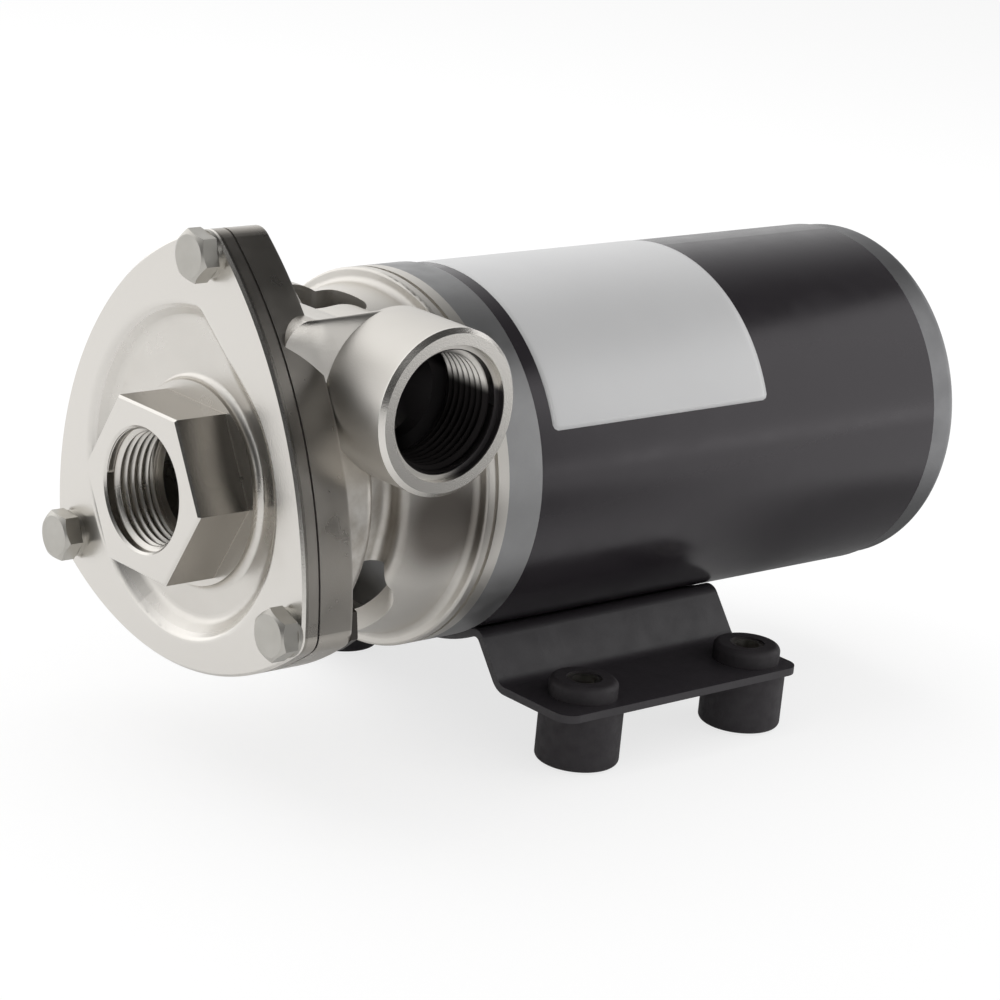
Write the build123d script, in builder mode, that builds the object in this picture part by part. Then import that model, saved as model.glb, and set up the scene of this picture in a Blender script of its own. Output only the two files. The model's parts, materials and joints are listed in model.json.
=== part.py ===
from build123d import *
import math
import os

# A close-coupled centrifugal pump on a direct-current motor.
# Millimetres. X runs along the shaft, from the pump's inlet at -X to the motor's rear at +X.
# Y runs across, with the outlet facing -Y. Z is up.
# The origin is the centre of the four base holes, on the floor that the rubber feet stand on.

os.makedirs("parts", exist_ok=True)

# Base and overall place
shaft_height = 62.0
foot_pitch_x = 51.0
foot_pitch_y = 86.0
front_foot_inset = 17.4
press_clearance = 0.02
fit_clearance = 0.1
edge_pick = 0.01

# Motor
motor_diameter = 83.0
motor_length = 126.0
motor_wall = 4.5
shell_edge = 0.5
band_step = 0.5
band_length = 9.4
end_bell_spigot = 5.0
end_bell_plate = 5.0
pilot_length = 3.6
rear_bell_step = 0.45
rear_bell_length = 8.1
rear_bell_edge = 2.6
rear_hub_edge = 1.0
rear_hub_diameter = 34.0
rear_hub_height = 3.0
hub_wall = 4.0
spigot_wall = 3.0
magnet_thickness = 5.2
magnet_angle = 128.0
magnet_start = 25.0
magnet_length = 66.0
air_gap = 0.8
core_start = 30.0
core_length = 56.0
core_slots = 12
slot_width = 5.0
slot_depth = 9.0
slot_mouth = 1.6
slot_bridge = 1.2
winding_clearance = 0.25
winding_overhang = 9.0
winding_seat = 2.0
commutator_start = 104.0
commutator_length = 14.0
riser_height = 2.0
riser_length = 2.0
commutator_diameter = 24.0
commutator_bars = 24
bar_gap = 0.5
bar_gap_depth = 1.0
tie_bolt_diameter = 4.0
tie_bolt_circle = 68.0
tie_bolt_hole = 4.5
tie_bolt_engagement = 12.0
tie_bolt_end_gap = 1.0
tie_head_flats = 7.0
tie_head_height = 2.8
tie_recess_diameter = 8.6
tie_recess_depth = 2.2
lug_wall = 1.9
grommet_hole = 12.0
grommet_offset_y = 15.0
grommet_offset_z = -20.0
grommet_bore = 7.0
grommet_lip = 2.0
grommet_lip_thickness = 2.2
grommet_round = 0.8

# Bearings
shaft_diameter = 10.0
rear_journal_diameter = 8.0
front_bearing_diameter = 26.0
front_bearing_width = 8.0
rear_bearing_diameter = 22.0
rear_bearing_width = 7.0
bearing_shoulder = 1.5
bearing_fit = 0.01
race_share = 0.25
shield_depth = 0.5
wave_washer_thickness = 0.6

# Brushes
brush_width = 8.0
brush_thickness = 5.0
brush_length = 12.0
brush_clearance = 0.3
brush_contact_gap = 0.05
holder_wall = 1.2
holder_length = 19.0
holder_cap = 1.5
holder_lift = 2.0
spring_wire = 0.8
spring_turns = 4
spring_diameter = 3.6
card_thickness = 2.0
card_hole = 30.0

# Pump casing and cover
port_bore_diameter = 26.4
rim_length = 6.2
rim_groove_depth = 0.8
rim_groove_width = 1.0
rim_groove_place = 3.5
bell_length = 18.4
bell_taper = 2.6
bell_rim_step = 3.1
bell_wall = 4.0
bell_front_round = 2.6
bell_rear_round = 1.6
rim_round = 0.7
neck_length = 5.7
neck_diameter = 63.0
neck_round = 2.0
volute_depth = 11.3
casing_wall = 3.5
casing_flange = 8.4
gasket_thickness = 0.5
gasket_inset = 0.5
cover_land = 3.8
cover_bevel = 0.6
recess_depth = 3.5
recess_draft = 3.8
recess_floor_fillet = 3.0
recess_edge_fillet = 2.0
spigot_clearance = 0.4
collar_diameter = 44.0
collar_height = 2.0
collar_fillet = 1.6
hex_flats = 36.0
hex_length = 12.7
hex_edge = 0.5
mouth_chamfer = 0.5
inlet_thread_length = 13.5
eye_diameter = 22.0
corner_radius = 5.2
side_radii = [67.5, 69.3, 101.1]
volute_tongue_angle = 50.0
volute_tongue_radius = 31.0
volute_growth = 8.0
volute_power = 1.3
volute_tip_angle = 358.0
volute_arcs = 4
volute_tip_round = 5.0
volute_rear_fillet = 2.5

# Outlet, measured from the volute's rear face and from the shaft
outlet_axis_back = 6.8
outlet_axis_height = 24.7
outlet_boss_diameter = 36.0
outlet_boss_length = 19.9
outlet_face = 47.3
outlet_chamfer = 1.0
outlet_neck_diameter = 27.6
outlet_neck_reach = 12.0
outlet_counterbore_diameter = 29.2
outlet_counterbore_depth = 1.5
outlet_thread_length = 17.0
outlet_duct_diameter = 20.0
duct_wall = 7.9
duct_overlap = 1.0
duct_low = 17.0
duct_high = 37.0
duct_front_inset = 0.6
duct_straight = 24.0

# Seal housing
seal_bore_diameter = 26.0
seal_housing_length = 11.0
seal_housing_wall = 4.0
seat_height = 4.0
seat_diameter = 20.0
seat_bore = 11.6
seal_face_gap = 0.05
seal_head_diameter = 22.0
seal_head_length = 7.0
carbon_length = 3.0
carbon_diameter = 18.0
seal_spring_wire = 1.2
seal_spring_turns = 2
slinger_diameter = 28.0
slinger_thickness = 2.4

# Drain windows in the bell, cut straight up from below and straight down from above
window_front = 4.6
low_window_length = 11.0
low_window_width = 64.0
low_window_round = 5.2
low_window_top = 12.0
top_window_length = 15.2
top_window_width = 18.0
top_window_round = 4.0

# Cover bolts: each centre is measured from the shaft
bolt_centres = [(-2.7, 50.3), (40.0, -22.9), (-38.3, -20.8)]
bolt_diameter = 6.0
bolt_hole = 6.6
bolt_flats = 10.0
bolt_head_height = 4.0
bolt_face_diameter = 9.0
bolt_face_slope = 32.0
washer_thickness = 1.0
washer_diameter = 10.4
washer_gap = 0.9
nut_height = 2.0
cover_nut_edge = 0.4
bolt_tail = 0.3
blind_depth = 7.0
head_turns = [12.0, 4.0, 20.0]

# Impeller
impeller_diameter = 57.0
impeller_plate = 2.4
impeller_front_gap = 0.9
impeller_back_gap = 1.2
impeller_hub_diameter = 16.0
blade_count = 6
blade_thickness = 2.2
blade_root_radius = 9.0
blade_tip_inset = 0.6
blade_slope = 42.0
nut_flats = 13.0
impeller_nut_height = 5.0
nut_edge = 0.6
shaft_thread_diameter = 8.0
shaft_tail = 0.4

# Bracket and feet
bracket_plate = 1.8
bracket_start = 4.0
bracket_length = 73.0
flange_bottom = 13.5
flange_edge = 9.8
web_foot = 30.2
saddle_half_width = 21.6
bend_radius = 3.4
flange_corner = 4.0
bracket_screw_diameter = 5.0
bracket_screw_pitch = 44.0
bracket_screw_wall = 1.0
bracket_head_diameter = 9.0
bracket_head_height = 2.6
bracket_head_round = 0.8
foot_diameter = 19.0
foot_edge = 1.2
foot_cap_diameter = 15.6
foot_cap_height = 4.0
foot_cap_round = 1.4
foot_waist_diameter = 12.0
sleeve_diameter = 8.0
sleeve_bore = 5.5
sleeve_floor_gap = 0.8
sleeve_top_gap = 0.4

# Stations along the shaft, from the motor's shell towards the inlet and the rear
shell_front_x = -(front_foot_inset + foot_pitch_x / 2)
shell_rear_x = shell_front_x + motor_length
rim_rear_x = shell_front_x - band_length
rim_front_x = rim_rear_x - rim_length
bell_front_x = rim_front_x - bell_length
volute_rear_x = bell_front_x - neck_length
flange_rear_x = volute_rear_x - volute_depth
flange_face_x = flange_rear_x - casing_flange
joint_x = flange_face_x - gasket_thickness
cover_face_x = joint_x - cover_land
recess_floor_x = cover_face_x + recess_depth
collar_face_x = recess_floor_x - collar_height
hex_face_x = collar_face_x - hex_length
cover_back_x = joint_x + recess_depth
cavity_back_x = volute_rear_x - casing_wall

motor_radius = motor_diameter / 2
band_diameter = motor_diameter + 2 * band_step
rear_bell_diameter = motor_diameter - 2 * rear_bell_step
bell_rear_diameter = band_diameter - 2 * bell_rim_step
bell_front_diameter = bell_rear_diameter - 2 * bell_taper
flange_reach = foot_pitch_y / 2 + flange_edge
shell_inner_radius = motor_radius - motor_wall
pilot_radius = bell_rear_diameter / 2 - bell_wall
tie_radius = tie_bolt_circle / 2
outlet_axis_x = volute_rear_x + outlet_axis_back
outlet_root = outlet_face - outlet_boss_length
outlet_thread_end = outlet_face - outlet_thread_length
pilot_x = rim_rear_x - pilot_length
rear_seat_x = shell_rear_x - end_bell_spigot
rear_face_x = shell_rear_x + rear_bell_length
rear_plate_x = rear_face_x - end_bell_plate
tie_seat_x = rear_face_x - tie_recess_depth
rear_pocket_x = rear_face_x + rear_hub_height - hub_wall
rear_bearing_x = rear_pocket_x - wave_washer_thickness - rear_bearing_width
card_x = rear_seat_x - card_thickness
impeller_back_x = cavity_back_x - impeller_back_gap
impeller_front_x = cover_back_x + impeller_front_gap
seal_rear_x = volute_rear_x + seal_housing_length
seat_face_x = seal_rear_x - bearing_shoulder - seat_height
seal_head_x = seat_face_x - seal_face_gap - seal_head_length
front_bearing_x = rim_rear_x + bearing_shoulder
slinger_x = (seal_rear_x + pilot_x) / 2
shaft_radius = shaft_diameter / 2
core_radius = shell_inner_radius - magnet_thickness - air_gap
commutator_x = shell_front_x + commutator_start
commutator_radius = commutator_diameter / 2
brush_x = card_x - holder_wall - brush_clearance - brush_thickness / 2

bracket_screws = [
    (shell_front_x + bracket_start + (bracket_length - bracket_screw_pitch) / 2, 0),
    (shell_front_x + bracket_start + (bracket_length + bracket_screw_pitch) / 2, 0),
]

shaft_axis = Axis((0, 0, shaft_height), (1, 0, 0))
shaft_plane = Plane(origin=(0, 0, shaft_height), x_dir=(1, 0, 0), z_dir=(0, -1, 0))
outlet_centre = (outlet_axis_x, 0, shaft_height + outlet_axis_height)
outlet_axis = Axis(outlet_centre, (0, -1, 0))
outlet_plane = Plane(origin=outlet_centre, x_dir=(0, -1, 0), z_dir=(-1, 0, 0))


def across(x):
    """Plane square to the shaft at x: its own x is Y, and its own y is the height above the shaft."""
    return Plane(origin=(x, 0, shaft_height), x_dir=(0, 1, 0), z_dir=(1, 0, 0))


def upright(y):
    """Plane square to Y, facing -Y: its own x is X, and its own y is the height above the shaft."""
    return Plane(origin=(0, y, shaft_height), x_dir=(1, 0, 0), z_dir=(0, -1, 0))


def turned(outline, mode=Mode.ADD, plane=shaft_plane, axis=shaft_axis):
    """Turn an outline of (distance along, radius) points about an axis, the shaft unless another is named."""
    with BuildSketch(plane) as profile:
        with BuildLine():
            Polyline(*outline, close=True)
        make_face()
    revolve(profile.sketch, axis=axis, mode=mode)


def ring(x_start, x_end, inner_radius, outer_radius, mode=Mode.ADD):
    """A plain turned ring or disc between two stations on the shaft."""
    turned(
        [
            (x_start, inner_radius),
            (x_end, inner_radius),
            (x_end, outer_radius),
            (x_start, outer_radius),
        ],
        mode,
    )


def on_circle(radius, degrees):
    """Point at an angle from straight up, turning towards -Y."""
    angle = math.radians(degrees)
    return (-radius * math.sin(angle), radius * math.cos(angle))


def unit(dy, dz):
    """Direction of length one."""
    length = math.hypot(dy, dz)
    return (dy / length, dz / length)


def edges_at(edges, x):
    """Those edges that lie in the plane square to the shaft at x."""
    return edges.filter_by_position(Axis.X, x - edge_pick, x + edge_pick)


def arc_about(centre, radius, start_way, end_way):
    """Arc about a centre, from one direction to another that is less than half a turn away."""
    (my, mz) = unit(start_way[0] + end_way[0], start_way[1] + end_way[1])
    ThreePointArc(
        (centre[0] + radius * start_way[0], centre[1] + radius * start_way[1]),
        (centre[0] + radius * my, centre[1] + radius * mz),
        (centre[0] + radius * end_way[0], centre[1] + radius * end_way[1]),
    )


def flange_outline(grow=0.0):
    """Rounded triangle about the three bolts: a bulging side arc between each pair of corner arcs."""
    ways = []
    centres = []
    for k in range(3):
        (py, pz) = bolt_centres[k]
        (qy, qz) = bolt_centres[(k + 1) % 3]
        chord = math.hypot(qy - py, qz - pz)
        (ny, nz) = unit(-(qz - pz), qy - py)
        if ny * (py + qy) + nz * (pz + qz) < 0:
            (ny, nz) = (-ny, -nz)
        back = math.sqrt((side_radii[k] - corner_radius) ** 2 - (chord / 2) ** 2)
        (cy, cz) = ((py + qy) / 2 - ny * back, (pz + qz) / 2 - nz * back)
        centres.append((cy, cz))
        ways.append((unit(py - cy, pz - cz), unit(qy - cy, qz - cz)))
    with BuildLine() as outline:
        for k in range(3):
            corner = (k + 1) % 3
            arc_about(centres[k], side_radii[k] + grow, ways[k][0], ways[k][1])
            arc_about(bolt_centres[corner], corner_radius + grow, ways[k][1], ways[corner][0])
    make_face(outline.edges())


def volute_radius(degrees):
    """Radius of the scroll, which grows from the tongue to the tip."""
    share = (degrees - volute_tongue_angle) / (360.0 - volute_tongue_angle)
    return volute_tongue_radius + volute_growth * share**volute_power


def volute_outline(grow=0.0):
    """Scroll outline: a chain of growing arcs, a rounded tip and a straight flank on to the base circle."""
    with BuildLine() as outline:
        start = on_circle(volute_tongue_radius, volute_tongue_angle)
        (iy, iz) = unit(-start[0], -start[1])
        for k in range(volute_arcs):
            degrees = volute_tongue_angle + (volute_tip_angle - volute_tongue_angle) * (k + 1) / volute_arcs
            end = on_circle(volute_radius(degrees), degrees)
            (dy, dz) = (end[0] - start[0], end[1] - start[1])
            radius = (dy * dy + dz * dz) / (2 * (dy * iy + dz * iz))
            centre = (start[0] + radius * iy, start[1] + radius * iz)
            arc_about(centre, radius + grow, (-iy, -iz), unit(end[0] - centre[0], end[1] - centre[1]))
            (iy, iz) = unit(centre[0] - end[0], centre[1] - end[1])
            start = end
        tip_centre = (start[0] + volute_tip_round * iy, start[1] + volute_tip_round * iz)
        reach = math.hypot(tip_centre[0], tip_centre[1])
        lean = math.degrees(math.acos((volute_tongue_radius - volute_tip_round) / reach))
        flank_angle = math.degrees(math.atan2(-tip_centre[0], tip_centre[1])) + lean
        flank_way = on_circle(1.0, flank_angle)
        arc_about(tip_centre, volute_tip_round + grow, (-iy, -iz), flank_way)
        (fy, fz) = on_circle(volute_tip_round + grow, flank_angle)
        Line((tip_centre[0] + fy, tip_centre[1] + fz), on_circle(volute_tongue_radius + grow, flank_angle))
        arc_about((0, 0), volute_tongue_radius + grow, flank_way, on_circle(1.0, volute_tongue_angle))
    make_face(outline.edges())


def save(builder, name):
    """Label a finished piece and write it."""
    builder.part.label = name
    export_step(builder.part, "parts/" + name + ".step")


# Front cover: bevelled land, dished scroll recess, collar and hexagonal inlet boss
with BuildPart() as front_cover:
    with BuildSketch(across(cover_face_x)):
        flange_outline()
    extrude(amount=cover_land)
    land_rim = front_cover.edges().group_by(Axis.X)[0]
    chamfer(land_rim, cover_bevel)
    with BuildSketch(across(joint_x)):
        volute_outline(-spigot_clearance)
    extrude(amount=recess_depth)
    with BuildSketch(across(cover_face_x)):
        volute_outline()
    with BuildSketch(across(recess_floor_x)):
        volute_outline(-recess_draft)
    loft(mode=Mode.SUBTRACT)
    recess_rim = edges_at(front_cover.edges(Select.LAST), cover_face_x)
    fillet(recess_rim, recess_edge_fillet)
    recess_corner = edges_at(front_cover.edges(), recess_floor_x)
    fillet(recess_corner, recess_floor_fillet)
    collar_radius = collar_diameter / 2
    with BuildSketch(shaft_plane):
        with BuildLine():
            Polyline(
                (recess_floor_x, collar_radius + collar_fillet),
                (cover_back_x, collar_radius + collar_fillet),
                (cover_back_x, 0),
                (collar_face_x, 0),
                (collar_face_x, collar_radius),
                (recess_floor_x - collar_fillet, collar_radius),
            )
            RadiusArc(
                (recess_floor_x - collar_fillet, collar_radius),
                (recess_floor_x, collar_radius + collar_fillet),
                -collar_fillet,
            )
        make_face()
    revolve(axis=shaft_axis)
    with BuildSketch(across(hex_face_x)):
        RegularPolygon(hex_flats / 2, 6, major_radius=False)
    extrude(amount=hex_length)
    hex_rim = front_cover.edges().group_by(Axis.X)[0]
    chamfer(hex_rim, hex_edge)
    ring(hex_face_x, cover_back_x, 0, eye_diameter / 2, Mode.SUBTRACT)
    ring(hex_face_x, hex_face_x + inlet_thread_length, 0, port_bore_diameter / 2, Mode.SUBTRACT)
    turned(
        [
            (hex_face_x, 0),
            (hex_face_x + mouth_chamfer, 0),
            (hex_face_x + mouth_chamfer, port_bore_diameter / 2),
            (hex_face_x, port_bore_diameter / 2 + mouth_chamfer),
        ],
        Mode.SUBTRACT,
    )
    with BuildSketch(across(cover_face_x)):
        with Locations(*bolt_centres):
            Circle(bolt_hole / 2)
    extrude(amount=cover_land, mode=Mode.SUBTRACT)
save(front_cover, "front_cover")

# Gasket between the cover and the casing, set in a little from the edge so that it reads as a dark line
with BuildPart() as cover_gasket:
    with BuildSketch(across(joint_x)):
        flange_outline(-gasket_inset)
    extrude(amount=gasket_thickness)
    with BuildSketch(across(joint_x)):
        volute_outline(gasket_inset)
    extrude(amount=gasket_thickness, mode=Mode.SUBTRACT)
    with BuildSketch(across(joint_x)):
        with Locations(*bolt_centres):
            Circle(bolt_hole / 2)
    extrude(amount=gasket_thickness, mode=Mode.SUBTRACT)
save(cover_gasket, "cover_gasket")

# Shape of the drain windows: one up from below and one down from above, both clear of the seal housing
with BuildPart() as window_cutter:
    for length, width, corner, height, reach in [
        (low_window_length, low_window_width, low_window_round, -low_window_top, -motor_radius),
        (top_window_length, top_window_width, top_window_round, 0.0, motor_radius),
    ]:
        with BuildSketch(Plane.XY.offset(shaft_height + height)):
            with Locations((bell_front_x - window_front + length / 2, 0)):
                RectangleRounded(length, width, corner)
        extrude(amount=reach - height)
    ring(volute_rear_x, rim_rear_x, 0, seal_bore_diameter / 2 + seal_housing_wall, Mode.SUBTRACT)

# Pump casing: flange, scroll, outlet and bell in one casting
with BuildPart() as pump_casing:
    with BuildSketch(across(flange_face_x)):
        flange_outline()
    extrude(amount=casing_flange)
    with BuildSketch(across(flange_rear_x)):
        volute_outline(casing_wall)
    extrude(amount=volute_depth)
    scroll_rim = pump_casing.edges().group_by(Axis.X)[-1]
    fillet(scroll_rim, volute_rear_fillet)
    # Outlet neck and boss
    turned(
        [
            (-outlet_neck_reach, 0),
            (-outlet_neck_reach, outlet_neck_diameter / 2),
            (outlet_root, outlet_neck_diameter / 2),
            (outlet_root, outlet_boss_diameter / 2),
            (outlet_face - outlet_chamfer, outlet_boss_diameter / 2),
            (outlet_face, outlet_boss_diameter / 2 - outlet_chamfer),
            (outlet_face, 0),
        ],
        plane=outlet_plane,
        axis=outlet_axis,
    )
    # Duct that leads the scroll's tip out past the flange's edge and then back to the outlet
    duct_front_x = flange_face_x + duct_front_inset
    with BuildSketch(upright(0)) as duct_section:
        with Locations(((duct_front_x + volute_rear_x) / 2, (duct_low + duct_high) / 2)):
            RectangleRounded(
                volute_rear_x - duct_front_x,
                duct_high - duct_low + 2 * casing_wall,
                2 * casing_wall,
            )
    extrude(amount=duct_straight)
    add(duct_section.sketch.moved(Location((0, -duct_straight, 0))))
    with BuildSketch(upright(-outlet_root - duct_overlap)):
        with Locations((outlet_axis_x, outlet_axis_height)):
            Circle(outlet_duct_diameter / 2 + duct_wall)
    loft()
    # Neck, bell and rim: the inside goes through first, and the outside's corners are rounded
    neck_radius = neck_diameter / 2
    bell_front = (bell_front_x, bell_front_diameter / 2)
    bell_rear = (rim_front_x, bell_rear_diameter / 2)
    neck_end = (bell_front_x, neck_radius)
    rim_front = (rim_front_x, band_diameter / 2)
    groove_x = rim_rear_x - rim_groove_place
    with BuildSketch(shaft_plane) as bell_section:
        with BuildLine():
            Polyline(
                (volute_rear_x - casing_wall, neck_radius - bell_wall),
                (bell_front_x + bell_wall, neck_radius - bell_wall),
                (bell_front_x + bell_wall, bell_front_diameter / 2 - bell_wall),
                (rim_rear_x, bell_rear_diameter / 2 - bell_wall),
                (rim_rear_x, band_diameter / 2),
                rim_front,
                bell_rear,
                bell_front,
                neck_end,
                (volute_rear_x - casing_wall, neck_radius),
                close=True,
            )
        make_face()
        for corner, radius in [
            (bell_front, bell_front_round),
            (neck_end, neck_round),
            (bell_rear, bell_rear_round),
            (rim_front, rim_round),
        ]:
            fillet(bell_section.vertices().sort_by_distance((*corner, 0))[0], radius)
    revolve(axis=shaft_axis)
    ring(
        groove_x - rim_groove_width / 2,
        groove_x + rim_groove_width / 2,
        band_diameter / 2 - rim_groove_depth,
        band_diameter / 2 + rim_groove_depth,
        Mode.SUBTRACT,
    )
    # Seal housing behind the scroll's back wall
    ring(
        cavity_back_x,
        seal_rear_x,
        0,
        seal_bore_diameter / 2 + seal_housing_wall,
    )
    # Lugs inside the bell that the tie bolts screw into
    with BuildSketch(across(rim_rear_x - tie_bolt_engagement)):
        with Locations((tie_radius, 0), (-tie_radius, 0)):
            Circle(tie_bolt_diameter / 2 + lug_wall)
    extrude(amount=tie_bolt_engagement)
    # Inside: scroll, duct, outlet bore and seal bore
    with BuildSketch(across(flange_face_x)):
        volute_outline()
    extrude(amount=cavity_back_x - flange_face_x, mode=Mode.SUBTRACT)
    with BuildSketch(upright(0)):
        with Locations(((cover_back_x + cavity_back_x) / 2, (duct_low + duct_high) / 2)):
            RectangleRounded(cavity_back_x - cover_back_x, duct_high - duct_low, casing_wall)
    with BuildSketch(upright(-outlet_thread_end - duct_overlap)):
        with Locations((outlet_axis_x, outlet_axis_height)):
            Circle(outlet_duct_diameter / 2)
    loft(mode=Mode.SUBTRACT)
    turned(
        [
            (outlet_thread_end, 0),
            (outlet_thread_end, port_bore_diameter / 2),
            (outlet_face - outlet_counterbore_depth, port_bore_diameter / 2),
            (outlet_face - outlet_counterbore_depth, outlet_counterbore_diameter / 2),
            (outlet_face, outlet_counterbore_diameter / 2),
            (outlet_face, 0),
        ],
        Mode.SUBTRACT,
        plane=outlet_plane,
        axis=outlet_axis,
    )
    ring(cavity_back_x, seal_rear_x - bearing_shoulder, 0, seal_bore_diameter / 2, Mode.SUBTRACT)
    ring(cavity_back_x, seal_rear_x, 0, shaft_diameter / 2 + bearing_shoulder, Mode.SUBTRACT)
    # Register for the front end bell, and the threads for the tie bolts
    ring(rim_rear_x - pilot_length, rim_rear_x, 0, pilot_radius, Mode.SUBTRACT)
    with BuildSketch(across(rim_rear_x - tie_bolt_engagement)):
        with Locations((tie_radius, 0), (-tie_radius, 0)):
            Circle(tie_bolt_diameter / 2)
    extrude(amount=tie_bolt_engagement, mode=Mode.SUBTRACT)
    # Drain windows, above and below
    add(window_cutter.part, mode=Mode.SUBTRACT)
    # Bolt holes: the top one is tapped blind, and the lower two run through
    with BuildSketch(across(flange_face_x)):
        with Locations(bolt_centres[0]):
            Circle(bolt_diameter / 2)
    extrude(amount=blind_depth, mode=Mode.SUBTRACT)
    with BuildSketch(across(flange_face_x)):
        with Locations(bolt_centres[1], bolt_centres[2]):
            Circle(bolt_hole / 2)
    extrude(amount=casing_flange, mode=Mode.SUBTRACT)
save(pump_casing, "pump_casing")

# Motor shell
with BuildPart() as motor_shell:
    ring(shell_front_x, shell_rear_x, shell_inner_radius, motor_radius)
    shell_ends = motor_shell.edges().filter_by(GeomType.CIRCLE).group_by(SortBy.RADIUS)[-1]
    chamfer(shell_ends, shell_edge)
    with BuildSketch(Plane.XY.offset(shaft_height - motor_radius)):
        with Locations(*bracket_screws):
            Circle(bracket_screw_diameter / 2)
    extrude(amount=motor_wall - bracket_screw_wall, mode=Mode.SUBTRACT)
save(motor_shell, "motor_shell")

# Front end bell: aluminium band, register for the pump, bearing seat and spigot into the shell
with BuildPart() as front_end_bell:
    spigot_radius = shell_inner_radius - press_clearance
    turned(
        [
            (pilot_x, shaft_radius + bearing_shoulder),
            (pilot_x, pilot_radius - press_clearance),
            (rim_rear_x, pilot_radius - press_clearance),
            (rim_rear_x, band_diameter / 2),
            (shell_front_x, band_diameter / 2),
            (shell_front_x, spigot_radius),
            (shell_front_x + end_bell_spigot, spigot_radius),
            (shell_front_x + end_bell_spigot, spigot_radius - spigot_wall),
            (pilot_x + end_bell_plate, spigot_radius - spigot_wall),
            (pilot_x + end_bell_plate, front_bearing_diameter / 2 + hub_wall),
            (front_bearing_x + front_bearing_width, front_bearing_diameter / 2 + hub_wall),
            (front_bearing_x + front_bearing_width, front_bearing_diameter / 2 + press_clearance),
            (front_bearing_x, front_bearing_diameter / 2 + press_clearance),
            (front_bearing_x, shaft_radius + bearing_shoulder),
        ]
    )
    with BuildSketch(across(pilot_x)):
        with Locations((tie_radius, 0), (-tie_radius, 0)):
            Circle(tie_bolt_hole / 2)
    extrude(amount=pilot_length + band_length + end_bell_spigot, mode=Mode.SUBTRACT)
save(front_end_bell, "front_end_bell")

# Rear end bell: rounded cap with a closed bearing hub and a hole for the cable grommet
with BuildPart() as rear_end_bell:
    turned(
        [
            (rear_seat_x, spigot_radius - spigot_wall),
            (rear_seat_x, spigot_radius),
            (shell_rear_x, spigot_radius),
            (shell_rear_x, rear_bell_diameter / 2),
            (rear_face_x, rear_bell_diameter / 2),
            (rear_face_x, rear_hub_diameter / 2),
            (rear_face_x + rear_hub_height, rear_hub_diameter / 2),
            (rear_face_x + rear_hub_height, 0),
            (rear_pocket_x, 0),
            (rear_pocket_x, rear_bearing_diameter / 2 + press_clearance),
            (rear_bearing_x, rear_bearing_diameter / 2 + press_clearance),
            (rear_bearing_x, rear_bearing_diameter / 2 + hub_wall),
            (rear_plate_x, rear_bearing_diameter / 2 + hub_wall),
            (rear_plate_x, spigot_radius - spigot_wall),
        ]
    )
    face_rims = rear_end_bell.edges().filter_by(GeomType.CIRCLE).group_by(Axis.X)[-2]
    fillet(face_rims.sort_by(SortBy.RADIUS)[-1], rear_bell_edge)
    hub_rim = rear_end_bell.edges().group_by(Axis.X)[-1]
    fillet(hub_rim, rear_hub_edge)
    with BuildSketch(across(rear_seat_x)):
        with Locations((tie_radius, 0), (-tie_radius, 0)):
            Circle(tie_bolt_hole / 2)
    extrude(amount=rear_face_x - rear_seat_x, mode=Mode.SUBTRACT)
    with BuildSketch(across(tie_seat_x)):
        with Locations((tie_radius, 0), (-tie_radius, 0)):
            Circle(tie_recess_diameter / 2)
    extrude(amount=tie_recess_depth, mode=Mode.SUBTRACT)
    with BuildSketch(across(rear_plate_x)):
        with Locations((grommet_offset_y, grommet_offset_z)):
            Circle(grommet_hole / 2)
    extrude(amount=end_bell_plate, mode=Mode.SUBTRACT)
save(rear_end_bell, "rear_end_bell")

# Rubber grommet in the rear end bell
grommet_centre = (0, grommet_offset_y, shaft_height + grommet_offset_z)
grommet_axis = Axis(grommet_centre, (1, 0, 0))
grommet_plane = Plane(origin=grommet_centre, x_dir=(1, 0, 0), z_dir=(0, -1, 0))
with BuildPart() as cable_grommet:
    turned(
        [
            (rear_plate_x - grommet_lip_thickness, grommet_bore / 2),
            (rear_plate_x - grommet_lip_thickness, grommet_hole / 2 + grommet_lip),
            (rear_plate_x, grommet_hole / 2 + grommet_lip),
            (rear_plate_x, grommet_hole / 2 - press_clearance),
            (rear_face_x, grommet_hole / 2 - press_clearance),
            (rear_face_x, grommet_hole / 2 + grommet_lip),
            (rear_face_x + grommet_lip_thickness, grommet_hole / 2 + grommet_lip),
            (rear_face_x + grommet_lip_thickness, grommet_bore / 2),
        ],
        plane=grommet_plane,
        axis=grommet_axis,
    )
    grommet_rim = cable_grommet.edges().group_by(Axis.X)[-1].sort_by(SortBy.RADIUS)[-1]
    fillet(grommet_rim, grommet_round)
save(cable_grommet, "cable_grommet")

# Two tie bolts clamp the motor's rear end bell to the pump casing
for number, side in enumerate((-1, 1), start=1):
    with BuildPart() as tie_bolt:
        with BuildSketch(across(tie_seat_x)):
            with Locations((side * tie_radius, 0)):
                RegularPolygon(tie_head_flats / 2, 6, major_radius=False)
        extrude(amount=tie_head_height)
        with BuildSketch(across(tie_seat_x)):
            with Locations((side * tie_radius, 0)):
                Circle(tie_bolt_diameter / 2 - press_clearance)
        extrude(amount=rim_rear_x - tie_bolt_engagement + tie_bolt_end_gap - tie_seat_x)
    save(tie_bolt, f"tie_bolt_{number}")

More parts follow.
